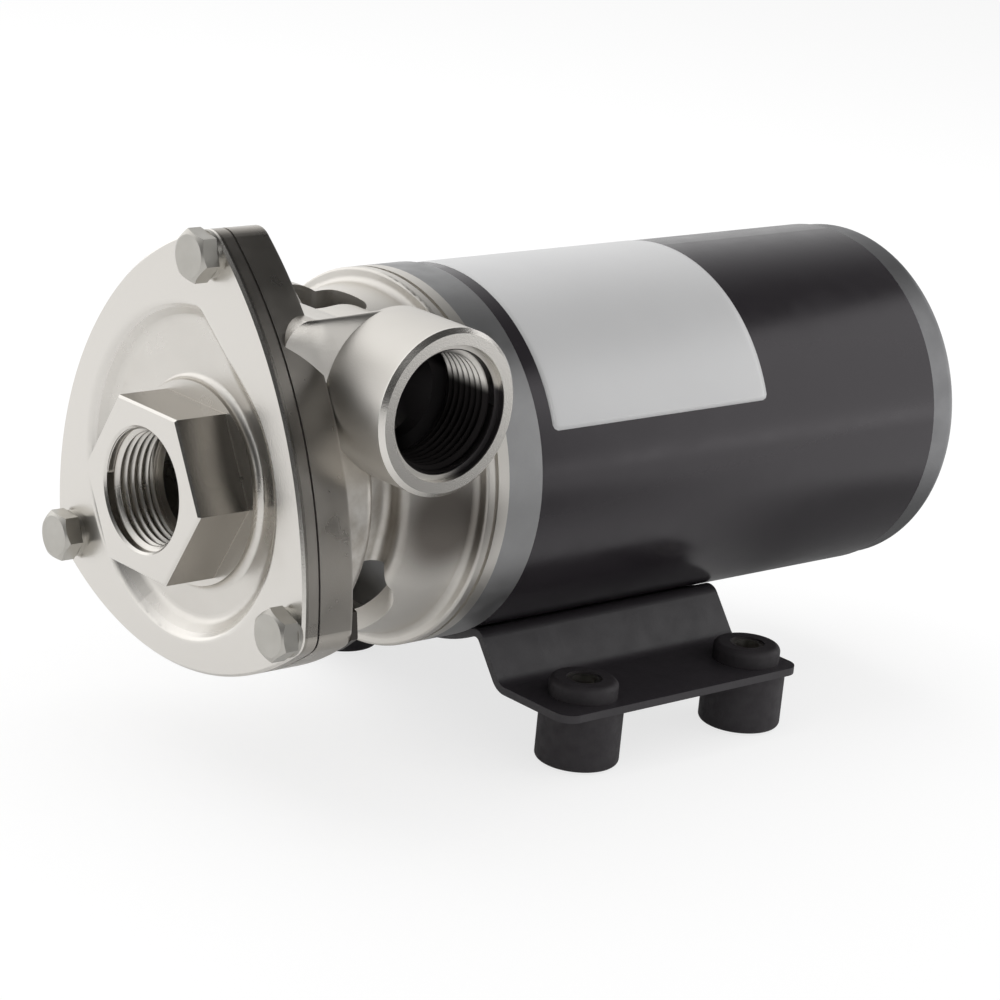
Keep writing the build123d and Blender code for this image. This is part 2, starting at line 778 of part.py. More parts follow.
# Curved field magnets, bonded inside the shell above and below
for number, middle in enumerate((0.0, 180.0), start=1):
    with BuildPart() as field_magnet:
        with BuildSketch(across(shell_front_x + magnet_start)):
            Circle(shell_inner_radius - press_clearance)
            Circle(shell_inner_radius - magnet_thickness, mode=Mode.SUBTRACT)
            with BuildLine():
                Polyline(
                    (0, 0),
                    on_circle(2 * motor_radius, middle - magnet_angle / 2),
                    on_circle(2 * motor_radius, middle),
                    on_circle(2 * motor_radius, middle + magnet_angle / 2),
                    close=True,
                )
            make_face(mode=Mode.INTERSECT)
        extrude(amount=magnet_length)
    save(field_magnet, f"field_magnet_{number}")

# Ball bearings at both ends of the rotor
for name, start, width, bore_diameter, outer_diameter in [
    ("bearing_front", front_bearing_x, front_bearing_width, shaft_diameter, front_bearing_diameter),
    ("bearing_rear", rear_bearing_x, rear_bearing_width, rear_journal_diameter, rear_bearing_diameter),
]:
    bore = bore_diameter / 2
    outer = outer_diameter / 2
    with BuildPart() as bearing:
        ring(start, start + width, bore + bearing_fit, outer)
        race = race_share * (outer - bore)
        for face, way in ((start, 1), (start + width, -1)):
            ring(face, face + way * shield_depth, bore + race, outer - race, Mode.SUBTRACT)
    save(bearing, name)

# Wave washer that preloads the rear bearing
with BuildPart() as wave_washer:
    ring(
        rear_pocket_x - wave_washer_thickness,
        rear_pocket_x,
        rear_journal_diameter / 2 + bearing_shoulder,
        rear_bearing_diameter / 2 - fit_clearance,
    )
save(wave_washer, "wave_washer")

# Brush card against the rear end bell, notched for the tie bolts
with BuildPart() as brush_card:
    ring(card_x, rear_seat_x, card_hole / 2, shell_inner_radius - fit_clearance)
    with BuildSketch(across(card_x)):
        with Locations((tie_radius, 0), (-tie_radius, 0)):
            Circle(tie_bolt_hole / 2)
    extrude(amount=card_thickness, mode=Mode.SUBTRACT)
save(brush_card, "brush_card")

# Brush gear, above and below the commutator: a box holder, a carbon brush that slides in it and its spring
for number, way in enumerate((1, -1), start=1):
    holder_plane = Plane(
        origin=(brush_x, 0, shaft_height + way * (commutator_radius + holder_lift)),
        x_dir=(1, 0, 0),
        z_dir=(0, 0, way),
    )
    hollow_x = brush_thickness + 2 * brush_clearance
    hollow_y = brush_width + 2 * brush_clearance
    with BuildPart() as brush_holder:
        with BuildSketch(holder_plane):
            Rectangle(hollow_x + 2 * holder_wall, hollow_y + 2 * holder_wall)
        extrude(amount=holder_length)
        with BuildSketch(holder_plane):
            Rectangle(hollow_x, hollow_y)
        extrude(amount=holder_length - holder_cap, mode=Mode.SUBTRACT)
    save(brush_holder, f"brush_holder_{number}")

    with BuildPart() as brush:
        with BuildSketch(Plane(origin=(brush_x, 0, shaft_height), x_dir=(1, 0, 0), z_dir=(0, 0, way))):
            Rectangle(brush_thickness, brush_width)
        extrude(amount=commutator_radius + brush_length)
        ring(
            brush_x - brush_thickness,
            brush_x + brush_thickness,
            0,
            commutator_radius + brush_contact_gap,
            Mode.SUBTRACT,
        )
    save(brush, f"brush_{number}")

    spring_start = commutator_radius + brush_length
    spring_length = holder_lift + holder_length - holder_cap - brush_length
    with BuildPart() as brush_spring:
        with BuildLine(
            Plane(
                origin=(brush_x, 0, shaft_height + way * (spring_start + spring_wire / 2)),
                x_dir=(1, 0, 0),
                z_dir=(0, 0, way),
            )
        ) as coil:
            coil_height = spring_length - spring_wire
            Helix(coil_height / spring_turns, coil_height, spring_diameter / 2, direction=(0, 0, way))
        with BuildSketch(Plane(origin=coil.line @ 0, z_dir=coil.line % 0)):
            Circle(spring_wire / 2)
        sweep()
    save(brush_spring, f"brush_spring_{number}")

# Shaft, stepped for the rear bearing and threaded for the impeller nut
with BuildPart() as shaft:
    turned(
        [
            (impeller_front_x - impeller_nut_height - shaft_tail, 0),
            (impeller_front_x - impeller_nut_height - shaft_tail, shaft_thread_diameter / 2),
            (impeller_front_x, shaft_thread_diameter / 2),
            (impeller_front_x, shaft_radius),
            (rear_bearing_x, shaft_radius),
            (rear_bearing_x, rear_journal_diameter / 2),
            (rear_bearing_x + rear_bearing_width, rear_journal_diameter / 2),
            (rear_bearing_x + rear_bearing_width, 0),
        ]
    )
save(shaft, "shaft")

# Laminated armature core with slots that open narrowly at the air gap
with BuildPart() as armature_core:
    ring(
        shell_front_x + core_start,
        shell_front_x + core_start + core_length,
        shaft_radius + press_clearance,
        core_radius,
    )
    with BuildSketch(across(shell_front_x + core_start)):
        with PolarLocations(core_radius - slot_bridge - slot_depth / 2, core_slots):
            Rectangle(slot_depth, slot_width)
        with PolarLocations(core_radius - slot_bridge / 2, core_slots):
            Rectangle(2 * slot_bridge, slot_mouth)
    extrude(amount=core_length, mode=Mode.SUBTRACT)
save(armature_core, "armature_core")

# Windings: a bar in each slot and an end turn at each end
with BuildPart() as armature_windings:
    with BuildSketch(across(shell_front_x + core_start - winding_overhang)):
        with PolarLocations(core_radius - slot_bridge - slot_depth / 2, core_slots):
            Rectangle(slot_depth - 2 * winding_clearance, slot_width - 2 * winding_clearance)
    extrude(amount=core_length + 2 * winding_overhang)
    winding_top = core_radius - slot_bridge - winding_clearance
    winding_bottom = shaft_radius + winding_seat
    for face, way in ((core_start, -1), (core_start + core_length, 1)):
        station = shell_front_x + face
        turned(
            [
                (station + way * winding_clearance, winding_bottom),
                (station + way * winding_clearance, winding_top),
                (station + way * winding_overhang / 2, winding_top),
                (station + way * winding_overhang, winding_top - winding_overhang / 2),
                (station + way * winding_overhang, winding_bottom),
            ]
        )
save(armature_windings, "armature_windings")

# Commutator with a riser and slots between its bars
with BuildPart() as commutator:
    turned(
        [
            (commutator_x, shaft_radius + press_clearance),
            (commutator_x, commutator_radius + riser_height),
            (commutator_x + riser_length, commutator_radius + riser_height),
            (commutator_x + riser_length, commutator_radius),
            (commutator_x + commutator_length, commutator_radius),
            (commutator_x + commutator_length, shaft_radius + press_clearance),
        ]
    )
    with BuildSketch(across(commutator_x)):
        with PolarLocations(commutator_radius + (riser_height - bar_gap_depth) / 2, commutator_bars):
            Rectangle(riser_height + bar_gap_depth, bar_gap)
    extrude(amount=commutator_length, mode=Mode.SUBTRACT)
save(commutator, "commutator")

# Impeller: a back plate with a hub and blades that curve back against the turn
blade_points = []
blade_tip_radius = impeller_diameter / 2 - blade_tip_inset
for share in (0.0, 0.5, 1.0):
    radius = blade_root_radius * (blade_tip_radius / blade_root_radius) ** share
    swept = -math.log(radius / blade_root_radius) / math.tan(math.radians(blade_slope))
    blade_points.append((radius * math.cos(swept), radius * math.sin(swept)))
with BuildSketch() as blade:
    with BuildLine():
        ThreePointArc(*blade_points)
    trace(line_width=blade_thickness)

with BuildPart() as impeller:
    ring(impeller_back_x - impeller_plate, impeller_back_x, 0, impeller_diameter / 2)
    ring(impeller_front_x, impeller_back_x, 0, impeller_hub_diameter / 2)
    with BuildSketch(across(impeller_front_x)):
        with PolarLocations(0, blade_count):
            add(blade.sketch)
    extrude(amount=impeller_back_x - impeller_plate / 2 - impeller_front_x)
    ring(impeller_front_x, impeller_back_x, 0, shaft_radius + press_clearance, Mode.SUBTRACT)
save(impeller, "impeller")

# Nut that holds the impeller on the shaft
with BuildPart() as impeller_nut:
    with BuildSketch(across(impeller_front_x)):
        RegularPolygon(nut_flats / 2, 6, major_radius=False)
        Circle(shaft_thread_diameter / 2 + press_clearance, mode=Mode.SUBTRACT)
    extrude(amount=-impeller_nut_height)
    nut_rims = impeller_nut.edges().filter_by(GeomType.LINE).group_by(Axis.X)[0]
    chamfer(nut_rims, nut_edge)
save(impeller_nut, "impeller_nut")

# Mechanical seal: a ceramic seat in a rubber cup stays still, and a sprung carbon head turns with the shaft
with BuildPart() as seal_seat_ring:
    ring(seat_face_x, seat_face_x + seat_height, seat_bore / 2, seat_diameter / 2)
save(seal_seat_ring, "seal_seat_ring")

with BuildPart() as seal_seat_cup:
    ring(
        seat_face_x,
        seat_face_x + seat_height,
        seat_diameter / 2 + press_clearance,
        seal_bore_diameter / 2 - press_clearance,
    )
save(seal_seat_cup, "seal_seat_cup")

with BuildPart() as seal_head:
    seal_head_end = seal_head_x + seal_head_length
    turned(
        [
            (seal_head_x, shaft_radius + press_clearance),
            (seal_head_x, seal_head_diameter / 2),
            (seal_head_end - carbon_length, seal_head_diameter / 2),
            (seal_head_end - carbon_length, carbon_diameter / 2),
            (seal_head_end, carbon_diameter / 2),
            (seal_head_end, shaft_radius + press_clearance),
        ]
    )
save(seal_head, "seal_head")

# Spring between the impeller's back and the seal head
with BuildPart() as seal_spring:
    seal_spring_length = seal_head_x - impeller_back_x
    seal_coil_height = seal_spring_length - seal_spring_wire
    with BuildLine(
        Plane(
            origin=(impeller_back_x + seal_spring_wire / 2, 0, shaft_height),
            x_dir=(0, 1, 0),
            z_dir=(1, 0, 0),
        )
    ) as seal_coil:
        seal_pitch = seal_coil_height / seal_spring_turns
        Helix(seal_pitch, seal_coil_height, carbon_diameter / 2, direction=(1, 0, 0))
    with BuildSketch(Plane(origin=seal_coil.line @ 0, z_dir=seal_coil.line % 0)):
        Circle(seal_spring_wire / 2)
    sweep()
save(seal_spring, "seal_spring")

# Rubber slinger that throws a leak out through the drain windows
with BuildPart() as slinger:
    turned(
        [
            (slinger_x - slinger_thickness, shaft_radius + press_clearance),
            (slinger_x - slinger_thickness, shaft_radius + slinger_thickness),
            (slinger_x - slinger_thickness / 2, slinger_diameter / 2),
            (slinger_x + slinger_thickness / 2, slinger_diameter / 2),
            (slinger_x + slinger_thickness, shaft_radius + slinger_thickness),
            (slinger_x + slinger_thickness, shaft_radius + press_clearance),
        ]
    )
save(slinger, "slinger")

# Cover bolts with lock washers: the top one is screwed into the casing, the lower two have nuts behind
for number, (centre, turn) in enumerate(zip(bolt_centres, head_turns), start=1):
    through = number > 1
    shank_end = flange_rear_x + nut_height + bolt_tail if through else flange_face_x + blind_depth - bolt_tail
    head_back_x = cover_face_x - washer_thickness
    with BuildPart() as cover_bolt:
        with BuildSketch(across(head_back_x)):
            with Locations(centre):
                RegularPolygon(bolt_flats / 2, 6, major_radius=False, rotation=turn)
        extrude(amount=-bolt_head_height)
        bolt_root = (head_back_x, centre[0], shaft_height + centre[1])
        face_drop = (bolt_flats - bolt_face_diameter / 2) * math.tan(math.radians(bolt_face_slope))
        turned(
            [
                (0, 0),
                (0, bolt_flats),
                (bolt_head_height - face_drop, bolt_flats),
                (bolt_head_height, bolt_face_diameter / 2),
                (bolt_head_height, 0),
            ],
            Mode.INTERSECT,
            plane=Plane(origin=bolt_root, x_dir=(-1, 0, 0), z_dir=(0, 1, 0)),
            axis=Axis(bolt_root, (1, 0, 0)),
        )
        with BuildSketch(across(head_back_x)):
            with Locations(centre):
                Circle(bolt_diameter / 2 - press_clearance)
        extrude(amount=shank_end - head_back_x)
    save(cover_bolt, f"cover_bolt_{number}")

    with BuildPart() as cover_washer:
        with BuildSketch(across(head_back_x)):
            with Locations(centre):
                Circle(washer_diameter / 2)
                Circle(bolt_diameter / 2 + fit_clearance, mode=Mode.SUBTRACT)
            with Locations((centre[0], centre[1] - washer_diameter / 4)):
                Rectangle(washer_gap, washer_diameter / 2, mode=Mode.SUBTRACT)
        extrude(amount=washer_thickness)
    save(cover_washer, f"cover_washer_{number}")

    if through:
        with BuildPart() as cover_nut:
            with BuildSketch(across(flange_rear_x)):
                with Locations(centre):
                    RegularPolygon(bolt_flats / 2, 6, major_radius=False, rotation=turn)
                    Circle(bolt_diameter / 2, mode=Mode.SUBTRACT)
            extrude(amount=nut_height)
            nut_rims = cover_nut.edges().filter_by(GeomType.LINE).group_by(Axis.X)[-1]
            chamfer(nut_rims, cover_nut_edge)
        save(cover_nut, f"cover_nut_{number}")

# Folded steel bracket: a saddle under the motor, two sloping webs and two flanges for the feet
with BuildPart() as mounting_bracket:
    saddle_radius = motor_radius + fit_clearance
    flange_top = flange_bottom + bracket_plate - shaft_height
    knee_drop = -math.sqrt(saddle_radius**2 - saddle_half_width**2)
    with BuildSketch(across(shell_front_x + bracket_start)) as sheet:
        with BuildLine() as fold:
            ThreePointArc(
                (-saddle_half_width, knee_drop),
                (0, -saddle_radius),
                (saddle_half_width, knee_drop),
            )
            for way in (-1, 1):
                Polyline(
                    (way * saddle_half_width, knee_drop),
                    (way * web_foot, flange_top),
                    (way * flange_reach, flange_top),
                )
            bends = fold.vertices().filter_by(lambda v: abs(v.X) < flange_reach - bend_radius)
            fillet(bends, bend_radius)
            offset(amount=bracket_plate, side=Side.RIGHT, closed=True)
        make_face()
    extrude(amount=bracket_length)
    flange_edges = mounting_bracket.edges().filter_by(Axis.Z)
    fillet(flange_edges, flange_corner)
    with BuildSketch(Plane.XY.offset(flange_bottom)):
        with GridLocations(foot_pitch_x, foot_pitch_y, 2, 2):
            Circle(foot_waist_diameter / 2 + press_clearance)
    extrude(amount=bracket_plate, mode=Mode.SUBTRACT)
    with BuildSketch(Plane.XY.offset(shaft_height - saddle_radius - bracket_plate)):
        with Locations(*bracket_screws):
            Circle(bracket_screw_diameter / 2)
    extrude(amount=2 * bracket_plate, mode=Mode.SUBTRACT)
save(mounting_bracket, "mounting_bracket")

# Two screws hold the bracket to the shell from below
screw_seat = shaft_height - saddle_radius - bracket_plate
for number, centre in enumerate(bracket_screws, start=1):
    with BuildPart() as bracket_screw:
        with BuildSketch(Plane.XY.offset(screw_seat)):
            with Locations(centre):
                Circle(bracket_head_diameter / 2)
        extrude(amount=-bracket_head_height)
        screw_rim = bracket_screw.edges().group_by(Axis.Z)[0]
        fillet(screw_rim, bracket_head_round)
        with BuildSketch(Plane.XY.offset(screw_seat)):
            with Locations(centre):
                Circle(bracket_screw_diameter / 2 - press_clearance)
        extrude(amount=bracket_plate + motor_wall - bracket_screw_wall)
    save(bracket_screw, f"bracket_screw_{number}")

# Four rubber feet, each waisted through the bracket's flange, with a steel sleeve down its middle
feet = [(x, y) for x in (-foot_pitch_x / 2, foot_pitch_x / 2) for y in (-foot_pitch_y / 2, foot_pitch_y / 2)]
foot_top = flange_bottom + bracket_plate + foot_cap_height
for number, (x, y) in enumerate(feet, start=1):
    with BuildPart() as rubber_foot:
        for low, high, radius in [
            (0, flange_bottom, foot_diameter / 2),
            (flange_bottom, flange_bottom + bracket_plate, foot_waist_diameter / 2),
            (flange_bottom + bracket_plate, foot_top, foot_cap_diameter / 2),
        ]:
            with BuildSketch(Plane(origin=(x, y, low))):
                Circle(radius)
            extrude(amount=high - low)
        foot_rims = rubber_foot.edges().filter_by(GeomType.CIRCLE)
        fillet(foot_rims.group_by(Axis.Z)[0], foot_edge)
        fillet(rubber_foot.edges().group_by(Axis.Z)[-1], foot_cap_round)
        with BuildSketch(Plane(origin=(x, y, sleeve_floor_gap))):
            Circle(sleeve_diameter / 2 + press_clearance)
        extrude(amount=foot_top - sleeve_floor_gap, mode=Mode.SUBTRACT)
        with BuildSketch(Plane(origin=(x, y, 0))):
            Circle(sleeve_bore / 2)
        extrude(amount=sleeve_floor_gap, mode=Mode.SUBTRACT)
    save(rubber_foot, f"rubber_foot_{number}")

    with BuildPart() as foot_sleeve:
        with BuildSketch(Plane(origin=(x, y, sleeve_floor_gap))):
            Circle(sleeve_diameter / 2)
            Circle(sleeve_bore / 2, mode=Mode.SUBTRACT)
        extrude(amount=foot_top - sleeve_top_gap - sleeve_floor_gap)
    save(foot_sleeve, f"foot_sleeve_{number}")
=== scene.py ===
import json
import math
import bpy
import numpy as np
from mathutils import Matrix, Vector


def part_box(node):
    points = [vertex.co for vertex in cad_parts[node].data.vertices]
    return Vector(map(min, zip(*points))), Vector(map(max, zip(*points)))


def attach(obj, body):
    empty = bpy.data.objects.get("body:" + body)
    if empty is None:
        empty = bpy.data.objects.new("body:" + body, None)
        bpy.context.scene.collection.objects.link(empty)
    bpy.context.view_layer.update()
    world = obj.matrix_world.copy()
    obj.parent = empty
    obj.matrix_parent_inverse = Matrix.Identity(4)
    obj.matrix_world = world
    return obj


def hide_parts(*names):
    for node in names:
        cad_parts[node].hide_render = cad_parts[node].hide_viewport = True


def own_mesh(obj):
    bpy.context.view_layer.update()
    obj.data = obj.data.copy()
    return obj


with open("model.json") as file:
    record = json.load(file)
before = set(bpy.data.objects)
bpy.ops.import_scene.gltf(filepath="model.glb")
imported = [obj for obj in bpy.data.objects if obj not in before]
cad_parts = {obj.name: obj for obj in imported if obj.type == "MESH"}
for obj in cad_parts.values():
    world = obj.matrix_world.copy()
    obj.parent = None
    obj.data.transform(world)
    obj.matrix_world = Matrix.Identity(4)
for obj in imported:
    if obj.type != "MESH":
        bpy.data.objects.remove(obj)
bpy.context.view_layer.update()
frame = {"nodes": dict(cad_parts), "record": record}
nodes = frame["nodes"]
print("stage: frame loaded with", len(nodes), "nodes")

# where the pump's main stations are, in metres
pump = {
    "shaftHeight": 0.062,
    "shellFront": -0.0429,
    "shellRadius": 0.0415,
    "inletFace": -0.1178,
    "collarFace": -0.1051,      # the round collar's front, which carries the hexagon
    "outletX": -0.0758,
    "outletZ": 0.0867,
    "outletFace": -0.0473,
    "outletRoot": -0.0274,      # where the outlet's bore starts
}

alongX = (1.0, 0.0, 0.0)
alongY = (0.0, 1.0, 0.0)
alongZ = (0.0, 0.0, 1.0)
everyWay = (1.0, 1.0, 1.0)
white = (1.0, 1.0, 1.0)


def meshPiece(name, points, faces):
    # points is an n by 3 array, and each face is a row of point indices
    mesh = bpy.data.meshes.new(name)
    mesh.from_pydata(points, [], faces)
    mesh.polygons.foreach_set("use_smooth", np.full(len(faces), True))
    mesh.update()
    piece = bpy.data.objects.new(name, mesh)
    bpy.context.scene.collection.objects.link(piece)
    return piece


def gridFaces(rows, columns, wrapColumns=False):
    # face (i, j) joins grid points (i, j), (i+1, j), (i+1, j+1), (i, j+1), counted round where columns wrap
    i = np.arange(rows - 1)
    j = np.arange(columns if wrapColumns else columns - 1)
    i, j = np.meshgrid(i, j, indexing="ij")
    row, nextRow = i * columns, (i + 1) * columns
    jNext = (j + 1) % columns
    return np.stack([row + j, nextRow + j, nextRow + jNext, row + jNext], -1).reshape(-1, 4)


def tubeFaces(rows, columns):
    # faces of a tube whose rings are the grid's rows, with a cap on each end
    faces = gridFaces(rows, columns, wrapColumns=True)[:, ::-1].tolist()
    last = (rows - 1) * columns
    return faces + [list(range(columns))[::-1], list(range(last, last + columns))]


def ridePump(piece, material):
    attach(piece, "pump_body")
    piece.data.materials.clear()
    piece.data.materials.append(material)


def feed(tree, value, socket):
    # links another node's output to a socket, or sets the socket to a plain value
    if isinstance(value, bpy.types.NodeSocket):
        tree.links.new(value, socket)
    elif socket.type == "RGBA":
        socket.default_value = (*value, 1.0)
    else:
        socket.default_value = value


def addNode(tree, kind, values=None, **options):
    # values are fed to the node's sockets by name or number, and options are settings of the node itself
    node = tree.nodes.new(kind)
    for key, value in options.items():
        setattr(node, key, value)
    for socket, value in (values or {}).items():
        feed(tree, value, node.inputs[socket])
    return node


def newMaterial(name, settings):
    material = bpy.data.materials.new(name)
    material.use_nodes = True
    tree = material.node_tree
    shader = tree.nodes["Principled BSDF"]
    for socket, value in settings.items():
        feed(tree, value, shader.inputs[socket])
    return material, tree, shader


def calculated(tree, operation, first, second=None):
    values = {0: first} if second is None else {0: first, 1: second}
    return addNode(tree, "ShaderNodeMath", values, operation=operation).outputs["Value"]


def mapped(tree, value, start, end, low=0.0, high=1.0, curve="LINEAR"):
    # low at start and high at end, held past both; start may be the larger of the two
    values = {"Value": value, "From Min": start, "From Max": end, "To Min": low, "To Max": high}
    return addNode(tree, "ShaderNodeMapRange", values, interpolation_type=curve).outputs["Result"]


def mixed(tree, factor, first, second, kind="RGBA"):
    # first where the factor is 0 and second where it is 1; a Mix node has other sockets for each kind
    firstSocket, secondSocket, result = {"FLOAT": (2, 3, 0), "RGBA": (6, 7, 2)}[kind]
    values = {0: factor, firstSocket: first, secondSocket: second}
    return addNode(tree, "ShaderNodeMix", values, data_type=kind).outputs[result]


def mixedShader(tree, factor, first, second):
    return addNode(tree, "ShaderNodeMixShader", {0: factor, 1: first, 2: second}).outputs["Shader"]


def addedShader(tree, first, second):
    return addNode(tree, "ShaderNodeAddShader", {0: first, 1: second}).outputs["Shader"]


def objectPlace(tree):
    return addNode(tree, "ShaderNodeTexCoord").outputs["Object"]


def reachAlong(tree, vector, way):
    # the dot product of a vector and a direction
    dot = addNode(tree, "ShaderNodeVectorMath", {0: vector, 1: way}, operation="DOT_PRODUCT")
    return dot.outputs["Value"]


def zone(tree, way, start, end):
    # 0 at start and 1 at end, measured along a direction on the object; start may be the larger of the two
    return mapped(tree, reachAlong(tree, objectPlace(tree), way), start, end, curve="SMOOTHSTEP")


def placeMask(tree, centre, scale, near, far):
    # 1 near a centre and 0 far from it: the length of (place - centre) * scale, eased from near to far
    shift = addNode(tree, "ShaderNodeVectorMath", {0: objectPlace(tree), 1: centre}, operation="SUBTRACT")
    size = addNode(tree, "ShaderNodeVectorMath", {0: shift.outputs["Vector"], 1: scale}, operation="MULTIPLY")
    reach = addNode(tree, "ShaderNodeVectorMath", {0: size.outputs["Vector"]}, operation="LENGTH")
    return mapped(tree, reach.outputs["Value"], far, near, curve="SMOOTHSTEP")


texture = {
    "colourDetail": 4.0,        # octaves of the noise behind colour, roughness and bump
    "wearDetail": 3.0,
    "grainDetail": 2.0,
    "noiseRough": 0.55,
    "noiseRange": (0.3, 0.7),       # noise stays mostly in here
    "metalWear": 2.7,       # roughness wanders this many times finer than colour
    "paintWear": 3.1,
    "bumpDepth": 0.0002,
    "paintIndex": 1.5,
}


def objectNoise(tree, scale, detail, stretch=None):
    # noise on Object coordinates, which are scaled by axis where stretch is given
    place = objectPlace(tree)
    if stretch:
        place = addNode(tree, "ShaderNodeMapping", {"Vector": place, "Scale": stretch}).outputs["Vector"]
    values = {"Vector": place, "Scale": scale, "Detail": detail, "Roughness": texture["noiseRough"]}
    return addNode(tree, "ShaderNodeTexNoise", values).outputs["Fac"]


def spreadNoise(tree, noise, low, high):
    return mapped(tree, noise, *texture["noiseRange"], low, high)


def bumped(tree, shader, height, strength, depth):
    bump = addNode(tree, "ShaderNodeBump", {"Height": height, "Strength": strength, "Distance": depth})
    feed(tree, bump.outputs["Normal"], shader.inputs["Normal"])


def noisyFinish(name, look):
    # A finish whose colour and roughness wander slowly, with a fine blasted, ground or moulded grain.
    # A metal's colour is its reflection; a paint, rubber or plastic has a clear gloss over its colour.
    if look["metal"]:
        settings = {"Metallic": 1.0}
        wear = texture["metalWear"]
    else:
        gloss = look.get("glossTint", white)
        settings = {"Metallic": 0.0, "IOR": texture["paintIndex"], "Specular Tint": gloss}
        wear = texture["paintWear"]
    material, tree, shader = newMaterial(name, settings)
    slow = objectNoise(tree, look["patchScale"], texture["colourDetail"])
    feed(tree, mixed(tree, slow, *look["colours"]), shader.inputs["Base Color"])
    worn = objectNoise(tree, look["patchScale"] * wear, texture["wearDetail"])
    feed(tree, spreadNoise(tree, worn, *look["rough"]), shader.inputs["Roughness"])
    grain = objectNoise(tree, look["grainScale"], texture["grainDetail"], look.get("stretch"))
    bumped(tree, shader, grain, look["grainStrength"], texture["bumpDepth"])
    return material


# one finish for each material slot; scales count features per metre
finishes = {
    "cast_stainless": {
        "metal": True, "colours": ((0.64, 0.615, 0.575), (0.73, 0.705, 0.662)), "rough": (0.25, 0.35),
        "patchScale": 45.0, "grainScale": 2600.0, "grainStrength": 0.10},
    "cast_aluminium": {
        "metal": True, "colours": ((0.33, 0.33, 0.335), (0.39, 0.39, 0.392)), "rough": (0.40, 0.52),
        "patchScale": 60.0, "grainScale": 1800.0, "grainStrength": 0.08},
    "bright_steel": {
        "metal": True, "colours": ((0.44, 0.425, 0.39), (0.54, 0.525, 0.49)), "rough": (0.30, 0.42),
        "patchScale": 160.0, "grainScale": 2600.0, "grainStrength": 0.05},
    "impeller_steel": {
        "metal": True, "colours": ((0.5, 0.49, 0.47), (0.6, 0.59, 0.57)), "rough": (0.38, 0.5),
        "patchScale": 80.0, "grainScale": 1500.0, "grainStrength": 0.15},
    "dark_steel": {
        "metal": True, "colours": ((0.06, 0.055, 0.05), (0.11, 0.10, 0.09)), "rough": (0.35, 0.5),
        "patchScale": 200.0, "grainScale": 2600.0, "grainStrength": 0.05},
    "spring_steel": {
        "metal": True, "colours": ((0.42, 0.42, 0.42), (0.5, 0.5, 0.5)), "rough": (0.25, 0.35),
        "patchScale": 300.0, "grainScale": 3000.0, "grainStrength": 0.03},
    "lamination_steel": {
        "metal": True, "colours": ((0.2, 0.2, 0.21), (0.32, 0.32, 0.33)), "rough": (0.4, 0.55),
        "patchScale": 90.0, "grainScale": 1400.0, "grainStrength": 0.5,
        "stretch": (1.0, 0.02, 0.02)},      # fine rings round the shaft, one for each lamination
    "copper": {
        "metal": True, "colours": ((0.62, 0.27, 0.13), (0.76, 0.38, 0.20)), "rough": (0.28, 0.42),
        "patchScale": 120.0, "grainScale": 900.0, "grainStrength": 0.5},
    "holder_brass": {
        "metal": True, "colours": ((0.66, 0.48, 0.20), (0.76, 0.58, 0.28)), "rough": (0.3, 0.45),
        "patchScale": 150.0, "grainScale": 2400.0, "grainStrength": 0.06},
    "shell_paint": {
        "metal": False, "colours": ((0.0185, 0.016, 0.0187), (0.0215, 0.0187, 0.0217)), "rough": (0.2, 0.27),
        "patchScale": 40.0, "grainScale": 700.0, "grainStrength": 0.04, "glossTint": (1.0, 0.955, 0.995)},
    "bracket_paint": {
        "metal": False, "colours": ((0.030, 0.0265, 0.0305), (0.038, 0.034, 0.0385)), "rough": (0.34, 0.46),
        "patchScale": 60.0, "grainScale": 1300.0, "grainStrength": 0.12},
    "black_rubber": {
        "metal": False, "colours": ((0.024, 0.0205, 0.0235), (0.033, 0.0285, 0.0325)), "rough": (0.55, 0.75),
        "patchScale": 120.0, "grainScale": 1500.0, "grainStrength": 0.15},
    "brush_carbon": {
        "metal": False, "colours": ((0.018, 0.018, 0.019), (0.035, 0.035, 0.036)), "rough": (0.4, 0.55),
        "patchScale": 300.0, "grainScale": 2600.0, "grainStrength": 0.2},
    "ferrite": {
        "metal": False, "colours": ((0.035, 0.035, 0.038), (0.06, 0.06, 0.065)), "rough": (0.6, 0.75),
        "patchScale": 150.0, "grainScale": 1800.0, "grainStrength": 0.25},
    "seat_ceramic": {
        "metal": False, "colours": ((0.72, 0.69, 0.62), (0.80, 0.77, 0.71)), "rough": (0.15, 0.25),
        "patchScale": 200.0, "grainScale": 1500.0, "grainStrength": 0.02},
    "card_laminate": {
        "metal": False, "colours": ((0.14, 0.07, 0.03), (0.22, 0.12, 0.055)), "rough": (0.4, 0.55),
        "patchScale": 220.0, "grainScale": 900.0, "grainStrength": 0.2},
}

materials = {slotName: noisyFinish(slotName, look) for slotName, look in finishes.items()}


